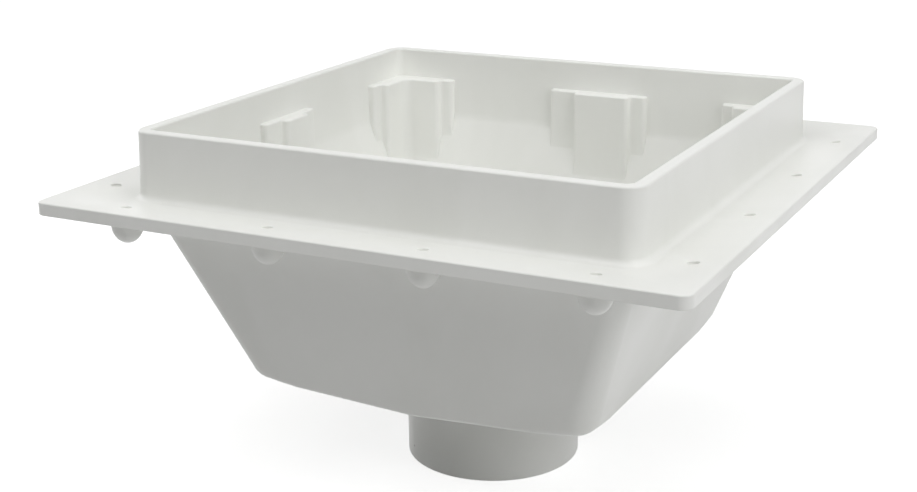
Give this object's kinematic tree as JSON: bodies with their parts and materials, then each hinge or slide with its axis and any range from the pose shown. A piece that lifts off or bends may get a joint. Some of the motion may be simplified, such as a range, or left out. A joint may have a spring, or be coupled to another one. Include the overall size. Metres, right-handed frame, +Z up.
{
  "type": "floor sink",
  "caption": "Square moulded floor sink: open collar, wide dished flange with screw bosses, tapered basin with grate rests and a round drain outlet.",
  "frame": {"origin": "middle of the outlet's lower end, on which the sink stands", "axes": "+Z up along the outlet's axis to the open rim, X and Y along the square's sides"},
  "size_m": [0.4032, 0.4032, 0.236],
  "materials": {
    "white_plastic": "moulded white rigid plastic with a satin surface"
  },
  "bodies": {
    "root": {"sink_body": "white_plastic"}
  },
  "joints": []
}
